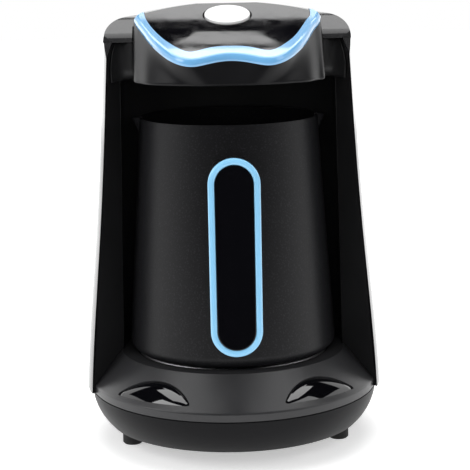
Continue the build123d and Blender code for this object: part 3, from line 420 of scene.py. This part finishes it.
def finish_piece(name, mesh, carrier, material):
    """Object made from a bmesh, smooth but for its caps, riding with the node that carries it."""
    bmesh.ops.recalc_face_normals(mesh, faces=mesh.faces)
    data = bpy.data.meshes.new(name)
    mesh.to_mesh(data)
    mesh.free()
    for polygon in data.polygons:
        polygon.use_smooth = len(polygon.vertices) == QUAD_CORNERS
    data.materials.append(material)
    piece = bpy.data.objects.new(name, data)
    bpy.context.scene.collection.objects.link(piece)
    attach(piece, body_of(nodes[carrier])[0])
    return piece


def depths(node_name):
    """Front and back of a node's box."""
    low, high = (Vector(corner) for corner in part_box(node_name))
    return low.y, high.y


def front_view(node_name):
    """Middle, half width and half height of a node's box, seen from the front."""
    low, high = (Vector(corner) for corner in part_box(node_name))
    middle = ((high.x + low.x) / 2, (high.z + low.z) / 2)
    return middle, (high.x - low.x) / 2, (high.z - low.z) / 2


def stadium(half_width, half_height, y, middle):
    """Upright stadium outline facing forwards, at depth y."""
    straight = half_height - half_width
    points = []
    for end in (1, -1):
        for step in range(STADIUM_STEPS + 1):
            angle = pi * step / STADIUM_STEPS
            x = end * half_width * cos(angle)
            z = end * (straight + half_width * sin(angle))
            points.append((middle[0] + x, y, middle[1] + z))
    return points


def handle_ring():
    """Domed ring round the handle's insert."""
    front, back = depths("handle_trim")
    middle, half_width, half_height = front_view("handle_trim")
    rows = [stadium(half_width, half_height, back, middle)]
    for step in range(RING_STEPS + 1):
        turn = pi * step / RING_STEPS
        inset = RING_WIDTH * (1 - cos(turn)) / 2
        y = front + RING_DOME * (1 - sin(turn))
        rows.append(stadium(half_width - inset, half_height - inset, y, middle))
    rows.append(stadium(half_width - RING_WIDTH, half_height - RING_WIDTH, back, middle))
    mesh = skin(rows, capped=False)
    piece = finish_piece("handle_ring", mesh, "handle_trim", BLUE_RING_LIT)
    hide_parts("handle_trim")


def handle_window():
    """Glossy insert inside the ring, with a softened edge."""
    front, back = depths("handle_insert")
    middle, ring_half_width, ring_half_height = front_view("handle_trim")
    half_width = ring_half_width - RING_WIDTH
    half_height = ring_half_height - RING_WIDTH
    rows = [stadium(half_width, half_height, back, middle)]
    for step in range(WINDOW_STEPS + 1):
        turn = pi / 2 * step / WINDOW_STEPS
        inset = WINDOW_ROUND * (1 - cos(turn))
        y = front + WINDOW_ROUND * (1 - sin(turn))
        rows.append(stadium(half_width - inset, half_height - inset, y, middle))
    mesh = skin(rows, capped=True)
    piece = finish_piece("handle_window", mesh, "handle_insert", BLACK_GLOSS)
    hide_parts("handle_insert")


def cubic(points, share):
    """Point on a cubic Bezier curve."""
    a, b, c, d = points
    left = 1 - share
    return left**3 * a + 3 * left**2 * share * b + 3 * left * share**2 * c + share**3 * d


def wing_front(z):
    """Depth of the wing's front edge at a height."""
    share = min(max((WING_TOP - z) / (WING_TOP - WING_TIP), 0.0), 1.0)
    return WING_TOP_Y + (WING_TIP_Y - WING_TOP_Y) * (2 * share - share**2)


def cove_section(side, share):
    """Level section of the hollow, from the wing to the head and round the back of the cheek."""
    z = COVE_TOP + (COVE_BOTTOM - COVE_TOP) * share
    under = max(0.0, (share - COVE_TURN) / (1 - COVE_TURN))
    y_front = wing_front(z) + WING_MARGIN + WING_SETBACK * share
    y_head = COVE_HEAD_Y + COVE_HEAD_FALL * share
    y_back = y_head + COVE_UNDERCUT * (1 - (1 - under**2) ** 0.5)
    outer_x = CHEEK_TOP_X + (CHEEK_INNER_Y - y_front) * CHEEK_SLOPE
    curve = (
        Vector((outer_x, y_front, z)),
        Vector((outer_x - COVE_WING_PULL[0], y_front + COVE_WING_PULL[1], z)),
        Vector((COVE_HEAD_X + COVE_HEAD_PULL[0], y_back + COVE_HEAD_PULL[1], z)),
        Vector((COVE_HEAD_X + COVE_EDGE, y_back, z)),
    )
    points = [cubic(curve, step / COVE_STEPS) for step in range(COVE_STEPS + 1)]
    for step in range(1, COVE_EDGE_STEPS + 1):
        turn = pi / 2 * step / COVE_EDGE_STEPS
        x = COVE_HEAD_X + COVE_EDGE * (1 - sin(turn))
        points.append(Vector((x, y_back + COVE_EDGE * (1 - cos(turn)), z)))
    points.append(Vector((COVE_HEAD_X, CHEEK_INNER_Y, z)))
    points.append(Vector((outer_x, CHEEK_INNER_Y, z)))
    return [(side * point.x, point.y, point.z) for point in points]


def cheek_cove(side, label):
    """Hollow face between one wing and the head, from the brow down to the head's lower edge."""
    rows = [cove_section(side, row / COVE_ROWS) for row in range(COVE_ROWS + 1)]
    mesh = skin(rows, capped=True)
    finish_piece(f"cheek_cove_{label}", mesh, "inner_liner", LINER_BLACK_LIT)


def arc_height(half_width, sag, x):
    """Height over its chord of a circular arc with this sag, at x along the chord."""
    radius = (half_width**2 + sag**2) / (2 * sag)
    return sag - radius + (radius**2 - x**2) ** 0.5


def lens_crescent(x):
    """Middle of the crescent, half its rise there and at its widest, at x along it."""
    low = (LENS_MIDDLE - LENS_OUTER) / cos(LENS_SLOPE)
    high = (LENS_MIDDLE - LENS_INNER) / cos(LENS_SLOPE)
    tip = low + LENS_OUTER * (1 - cos(LENS_HALF_SPAN)) * cos(LENS_SLOPE)
    lower = tip - arc_height(LENS_HALF_LENGTH, tip - low, x)
    upper = tip + arc_height(LENS_HALF_LENGTH, high - tip, x)
    return (upper + lower) / 2, (upper - lower) / 2, (high - low) / 2


def domed_lens(side, label):
    """Crescent lens on the deck's slope, domed across its width."""
    node_name = f"deck_lens_{label}"
    angle = side * LENS_ANGLE
    outward = Vector((sin(angle), -cos(angle), 0))
    along = Vector((cos(angle), sin(angle), 0))
    normal = outward * sin(LENS_SLOPE) + Vector((0, 0, cos(LENS_SLOPE)))
    uphill = normal.cross(along)
    middle = outward * LENS_MIDDLE + Vector((0, 0, LENS_PLACE_HEIGHT))
    solid = nodes[node_name]
    solid_top = BVHTree.FromPolygons(
        [solid.matrix_world @ vertex.co for vertex in solid.data.vertices],
        [tuple(polygon.vertices) for polygon in solid.data.polygons],
    )
    rows = []
    for step in range(LENS_STEPS + 1):
        x = (LENS_HALF_LENGTH - LENS_TIP_CUT) * (2 * step / LENS_STEPS - 1)
        centre, reach, widest = lens_crescent(x)
        row = []
        for ring in range(LENS_RINGS + 1):
            share = -cos(pi * ring / LENS_RINGS)
            probe_rise = centre + share * reach * LENS_PROBE_INSET
            probe = middle + along * x * LENS_PROBE_INSET + uphill * probe_rise
            hit = solid_top.ray_cast(probe + normal * LENS_PROBE_START, -normal)[0]
            height = (hit - middle).dot(normal) + LENS_DOME * (1 - share**2) * reach / widest
            row.append(middle + along * x + uphill * (centre + share * reach) + normal * height)
        row.append(row[-1] - normal * LENS_EDGE_DEPTH)
        row.insert(0, row[0] - normal * LENS_EDGE_DEPTH)
        rows.append(row)
    mesh = skin(rows, capped=True)
    piece = finish_piece(f"lens_dome_{label}", mesh, node_name, BLACK_LENS)
    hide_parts(node_name)


handle_ring()
handle_window()
for side, label in SIDES:
    cheek_cove(side, label)
    domed_lens(side, label)

# ---------------------------------------------------------------- stage


def emission_material(name, strength):
    """Plain glowing white surface."""
    material = bpy.data.materials.new(name)
    material.use_nodes = True
    tree = material.node_tree
    tree.nodes.clear()
    glow = tree.nodes.new("ShaderNodeEmission")
    glow.inputs["Strength"].default_value = strength
    glow.inputs["Color"].default_value = STAGE_WHITE
    output = tree.nodes.new("ShaderNodeOutputMaterial")
    tree.links.new(glow.outputs["Emission"], output.inputs["Surface"])
    return material


def card(name, centre, facing, width, height, material, taper=1.0):
    """Flat stage card seen only in reflections, facing a point, one edge narrower by taper."""
    bpy.ops.mesh.primitive_plane_add(size=1.0)
    piece = bpy.context.object
    piece.name = name
    for vertex in piece.data.vertices:
        if vertex.co.y < 0:
            vertex.co.x *= taper
    direction = Vector(facing) - Vector(centre)
    piece.rotation_euler = direction.to_track_quat("Z", "Y").to_euler()
    piece.location = centre
    piece.scale = (width, height, 1.0)
    piece.data.materials.append(material)
    piece.visible_camera = False
    piece.visible_diffuse = False
    piece.visible_shadow = False
    piece.visible_transmission = False


def seen_rays(tree):
    """1 for camera rays, reflections and what shows through glass, 0 for plain light."""
    path = tree.nodes.new("ShaderNodeLightPath")
    value = path.outputs["Is Camera Ray"]
    for name in ("Is Glossy Ray", "Is Transmission Ray"):
        value = combined(tree, "MAXIMUM", value, path.outputs[name])
    return value


def floor():
    """White floor glowing to the camera and in reflections, its glow dimmed near the object as
    painted shade round the lamps' soft shadow, and plain white further out.
    """
    bpy.ops.mesh.primitive_plane_add(size=FLOOR_SIZE)
    piece = bpy.context.object
    piece.name = "floor"
    material, tree, shader = new_material("floor_white")
    shader.inputs["Base Color"].default_value = FLOOR_COLOUR
    shader.inputs["Specular IOR Level"].default_value = 0.0
    shader.inputs["Emission Color"].default_value = STAGE_WHITE
    # Glow dimmed near the object: painted shade.
    shaded_glow = mapped(tree, axis_distance(tree), (FLOOR_NEAR, FLOOR_FAR), (FLOOR_SHADED_GLOW, 1.0))
    glow = combined(tree, "MULTIPLY", shaded_glow, seen_rays(tree))
    tree.links.new(glow, shader.inputs["Emission Strength"])
    piece.data.materials.append(material)


def world():
    """White to the camera and in reflections, and a soft plain light on the object."""
    background = bpy.data.worlds.new("studio")
    bpy.context.scene.world = background
    background.use_nodes = True
    tree = background.node_tree
    tree.nodes.clear()
    glow = tree.nodes.new("ShaderNodeBackground")
    glow.inputs["Color"].default_value = STAGE_WHITE
    strength = mapped(tree, seen_rays(tree), (0, 1), (WORLD_LIGHT, 1.0))
    tree.links.new(strength, glow.inputs["Strength"])
    output = tree.nodes.new("ShaderNodeOutputWorld")
    tree.links.new(glow.outputs["Background"], output.inputs["Surface"])


def softbox(name, place, target, size, power, mirrored):
    """Rectangular area light aimed at a point, seen in reflections or not."""
    data = bpy.data.lights.new(name, "AREA")
    data.shape = "RECTANGLE"
    data.size, data.size_y = size
    data.energy = power
    lamp = bpy.data.objects.new(name, data)
    bpy.context.scene.collection.objects.link(lamp)
    lamp.location = place
    direction = Vector(target) - Vector(place)
    lamp.rotation_euler = direction.to_track_quat("-Z", "Y").to_euler()
    lamp.visible_glossy = mirrored


def camera():
    """Camera at the viewing angle of a product shot, a little above the pot."""
    level = Vector((cos(CAMERA_YAW), -sin(CAMERA_YAW), 0))
    ahead = Vector((sin(CAMERA_YAW), cos(CAMERA_YAW), 0))
    forward = ahead * cos(CAMERA_PITCH) - Vector((0, 0, sin(CAMERA_PITCH)))
    upright = level.cross(forward)
    right = level * cos(CAMERA_ROLL) + upright * sin(CAMERA_ROLL)
    above = upright * cos(CAMERA_ROLL) - level * sin(CAMERA_ROLL)
    data = bpy.data.cameras.new("camera")
    data.sensor_width = SENSOR_WIDTH
    data.lens = SENSOR_WIDTH * FOCAL_PIXELS / FRAME_PIXELS
    data.clip_start = NEAR_CLIP
    piece = bpy.data.objects.new("camera", data)
    bpy.context.scene.collection.objects.link(piece)
    turn = Matrix((right, above, -forward)).transposed()
    piece.matrix_world = Matrix.Translation(CAMERA_PLACE) @ turn.to_4x4()
    bpy.context.scene.camera = piece


BLACK = emission_material("card_black", 0.0)
DIM = emission_material("card_dim", 0.22)
PALE = emission_material("card_pale", 1.8)
SOFT = emission_material("card_soft", 2.6)
BRIGHT = emission_material("card_bright", 2.4)
GLOW = emission_material("card_glow", 4.5)

# Cards round the object: name, centre, point faced, width, height, material
CARDS = (
    ("front_flag", (0, -1.4, 0.55), (0, 0, 0.55), 3.4, 1.9, BLACK),
    ("ceiling_flag", (0, -0.2, 1.5), (0, -0.2, 0), 4.0, 2.4, BLACK),
    ("floor_flag", (0, -0.84, 0.003), (0, -0.84, 1), 3.4, 1.12, BLACK),
    ("side_flag_left", (-1.7, -0.75, 0.55), (0, -0.75, 0.55), 1.3, 1.9, DIM),
    ("side_flag_right", (1.7, -0.75, 0.55), (0, -0.75, 0.55), 1.3, 1.9, DIM),
    ("side_band_left", (-0.62, 1.3, 0.1), (0, 0, 0.1), 0.7, 0.5, BRIGHT),
    ("side_band_right", (0.62, 1.3, 0.1), (0, 0, 0.1), 0.7, 0.5, BRIGHT),
    ("ceiling_light", (0, 0.19, 1.3), (0, 0.19, 0), 1.6, 0.62, SOFT),
    ("arm_light_left", (-0.92, 0.77, 0.39), (0, 0, 0.18), 0.45, 0.5, SOFT),
    ("arm_light_right", (0.92, 0.77, 0.39), (0, 0, 0.18), 0.45, 0.5, PALE),
)

PANEL_PLACE = Vector((0.0, -0.028, 0.185))  # middle of the head's panel
PANEL_MIRROR = Vector((0.02, 0.743, 0.669)).normalized()  # from the panel to what it mirrors

# Cards that the head's panel and trim mirror: name, distance from the panel, place up the
# mirrored picture, width, height, material, taper
PANEL_CARDS = (
    ("panel_flag", 1.06, 0.0, 0.9, 0.4, BLACK, 1.0),
    ("crest_light", 1.0, -0.017, 0.5, 0.028, BRIGHT, 1.0),
    ("crest_glow", 0.99, -0.036, 0.5, 0.014, GLOW, 1.0),
    ("panel_light", 1.0, 0.0165, 0.113, 0.013, BRIGHT, 0.55),
    ("trim_light", 1.0, 0.0365, 0.13, 0.0165, GLOW, 1.0),
)

# Lamps: name, place, point lit, size, power, seen in reflections
LAMPS = (
    ("key", (-0.95, -0.35, 0.7), (0, 0, 0.1), (0.5, 0.8), 4.5, True),
    ("fill", (0.95, -0.35, 0.7), (0, 0, 0.1), (0.5, 0.8), 2.1, True),
    ("front", (0, -1.3, 0.5), (0, 0, 0.1), (1.6, 0.9), 7.0, False),
    ("overhead", (0, 0.1, 1.15), (0, 0, 0.1), (1.0, 0.8), 7.0, False),
    ("top", (0.0, 0.5, 0.95), (0, 0, 0.15), (0.9, 0.26), 2.4, True),
)

floor()
world()
camera()
for lamp in LAMPS:
    softbox(*lamp)
for stage_card in CARDS:
    card(*stage_card)
panel_up = PANEL_MIRROR.cross(Vector((-1, 0, 0))).normalized()
for name, distance, up, width, height, material, taper in PANEL_CARDS:
    faced = PANEL_PLACE + up * panel_up
    card(name, faced + distance * PANEL_MIRROR, faced, width, height, material, taper)

bpy.context.scene.view_settings.view_transform = "Standard"
